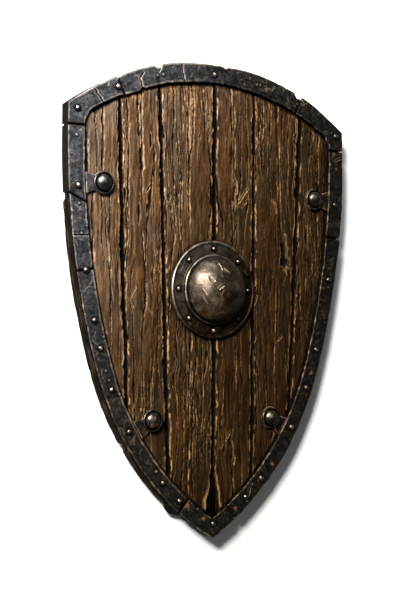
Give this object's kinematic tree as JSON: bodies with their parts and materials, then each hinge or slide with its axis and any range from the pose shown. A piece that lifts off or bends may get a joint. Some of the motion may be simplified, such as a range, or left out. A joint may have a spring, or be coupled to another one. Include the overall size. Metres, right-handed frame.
{
  "type": "heater shield",
  "caption": "Flat heater shield of weathered vertical boards with a nailed iron rim, a hollow domed boss over a hand hole, domed studs on tab plates, and battens and a grip bar behind.",
  "frame": {"origin": "middle of the shield's outline, on the plane that its back rests on", "axes": "+Y to the top edge, -Y to the tip, +X to the right as seen from the front, +Z out of the front face"},
  "size_m": [0.55, 0.8023, 0.0821],
  "materials": {
    "boards": "weathered grey-brown oak, split, gouged and dark in its seams",
    "battens": "plain sawn oak, aged",
    "grip": "oak worn smooth by the hand",
    "rim": "dark forged iron with worn bright edges and brown rust",
    "nails": "domed iron heads, worn bright on top",
    "boss": "polished dark iron with brown patina, scratches and gouges",
    "studs": "dark iron, worn bright on the dome"
  },
  "bodies": {
    "root": {"board_1": "boards", "board_2": "boards", "board_3": "boards", "board_4": "boards", "board_5": "boards", "board_6": "boards", "batten_upper": "battens", "batten_lower": "battens", "grip_bar": "grip", "rim_top": "rim", "rim_corner_left": "rim", "rim_corner_right": "rim", "rim_strap_left": "rim", "rim_left_upper": "rim", "rim_left_lower": "rim", "rim_right_upper": "rim", "rim_right_lower": "rim", "rim_tip": "rim", "rim_nail_corner_left": "nails", "rim_nail_corner_right": "nails", "rim_nail_left_1": "nails", "rim_nail_left_2": "nails", "rim_nail_left_3": "nails", "rim_nail_left_4": "nails", "rim_nail_left_5": "nails", "rim_nail_left_6": "nails", "rim_nail_left_7": "nails", "rim_nail_right_1": "nails", "rim_nail_right_2": "nails", "rim_nail_right_3": "nails", "rim_nail_right_4": "nails", "rim_nail_right_5": "nails", "rim_nail_right_6": "nails", "rim_nail_right_7": "nails", "rim_nail_left_extra": "nails", "rim_nail_crown_left": "nails", "rim_nail_crown_middle": "nails", "rim_nail_tip": "nails", "boss": "boss", "boss_rivet_1": "nails", "boss_rivet_2": "nails", "boss_rivet_3": "nails", "boss_rivet_4": "nails", "boss_rivet_5": "nails", "boss_rivet_6": "nails", "boss_rivet_7": "nails", "boss_rivet_8": "nails", "tab_upper_left": "rim", "tab_upper_right": "rim", "tab_lower_left": "rim", "tab_lower_right": "rim", "stud_upper_left": "studs", "stud_upper_right": "studs", "stud_lower_left": "studs", "stud_lower_right": "studs"}
  },
  "joints": []
}
